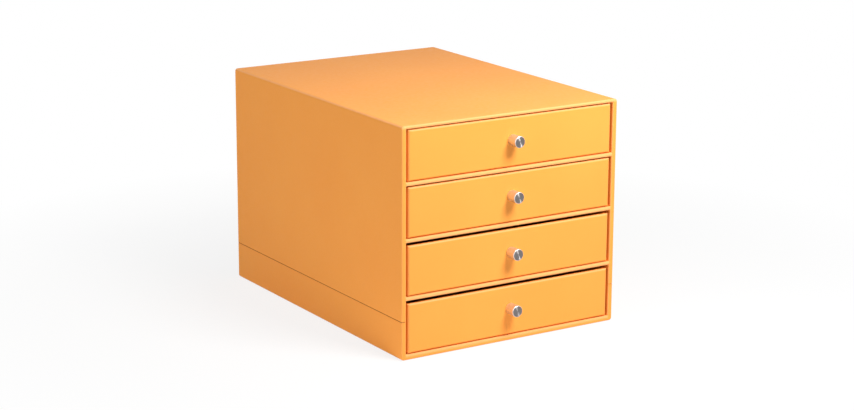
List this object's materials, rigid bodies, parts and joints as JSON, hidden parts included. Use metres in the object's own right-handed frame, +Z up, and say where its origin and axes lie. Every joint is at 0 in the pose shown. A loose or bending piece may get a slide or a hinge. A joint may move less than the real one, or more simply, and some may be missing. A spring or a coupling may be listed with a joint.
{
  "type": "desktop drawer cabinet",
  "caption": "Desktop cabinet of paper-covered board holding stacked shallow pull-out trays, each with a small round metal knob.",
  "frame": {"origin": "centre of the case's footprint, on the surface that it stands on", "axes": "+X to the right as seen from the front, +Y from the drawer fronts to the back, +Z up"},
  "size_m": [0.236, 0.3303, 0.2163],
  "materials": {
    "orange_paper": "matte",
    "lining_paper": "matte",
    "base_paper": "matte",
    "grey_board": "matte",
    "liner_board": "matte",
    "knob_metal": "satin",
    "screw_steel": "satin"
  },
  "bodies": {
    "case": {"top_board": "grey_board", "left_side_board": "grey_board", "right_side_board": "grey_board", "base_board": "grey_board", "back_board": "grey_board", "base_liner": "liner_board", "left_liner_1": "liner_board", "left_liner_2": "liner_board", "left_liner_3": "liner_board", "left_liner_4": "liner_board", "right_liner_1": "liner_board", "right_liner_2": "liner_board", "right_liner_3": "liner_board", "right_liner_4": "liner_board", "shelf_1": "grey_board", "shelf_2": "grey_board", "shelf_3": "grey_board", "shelf_1_cover": "orange_paper", "shelf_2_cover": "orange_paper", "shelf_3_cover": "orange_paper", "upper_wrap": "orange_paper", "lower_wrap": "orange_paper", "back_sheet": "orange_paper", "base_sheet": "base_paper"},
    "drawer_1": {"drawer_1_front_board": "grey_board", "drawer_1_back_wall": "grey_board", "drawer_1_left_wall": "grey_board", "drawer_1_right_wall": "grey_board", "drawer_1_floor_board": "grey_board", "drawer_1_cover": "orange_paper", "drawer_1_lining": "lining_paper", "drawer_1_knob": "knob_metal", "drawer_1_screw": "screw_steel"},
    "drawer_2": {"drawer_2_front_board": "grey_board", "drawer_2_back_wall": "grey_board", "drawer_2_left_wall": "grey_board", "drawer_2_right_wall": "grey_board", "drawer_2_floor_board": "grey_board", "drawer_2_cover": "orange_paper", "drawer_2_lining": "lining_paper", "drawer_2_knob": "knob_metal", "drawer_2_screw": "screw_steel"},
    "drawer_3": {"drawer_3_front_board": "grey_board", "drawer_3_back_wall": "grey_board", "drawer_3_left_wall": "grey_board", "drawer_3_right_wall": "grey_board", "drawer_3_floor_board": "grey_board", "drawer_3_cover": "orange_paper", "drawer_3_lining": "lining_paper", "drawer_3_knob": "knob_metal", "drawer_3_screw": "screw_steel"},
    "drawer_4": {"drawer_4_front_board": "grey_board", "drawer_4_back_wall": "grey_board", "drawer_4_left_wall": "grey_board", "drawer_4_right_wall": "grey_board", "drawer_4_floor_board": "grey_board", "drawer_4_cover": "orange_paper", "drawer_4_lining": "lining_paper", "drawer_4_knob": "knob_metal", "drawer_4_screw": "screw_steel"}
  },
  "joints": [
    {"name": "drawer_1_slide", "type": "slide", "parent": "case", "child": "drawer_1", "axis": [0, -1, 0], "range_m": [0, 0.3]},
    {"name": "drawer_2_slide", "type": "slide", "parent": "case", "child": "drawer_2", "axis": [0, -1, 0], "range_m": [0, 0.3]},
    {"name": "drawer_3_slide", "type": "slide", "parent": "case", "child": "drawer_3", "axis": [0, -1, 0], "range_m": [0, 0.3]},
    {"name": "drawer_4_slide", "type": "slide", "parent": "case", "child": "drawer_4", "axis": [0, -1, 0], "range_m": [0, 0.3]}
  ]
}
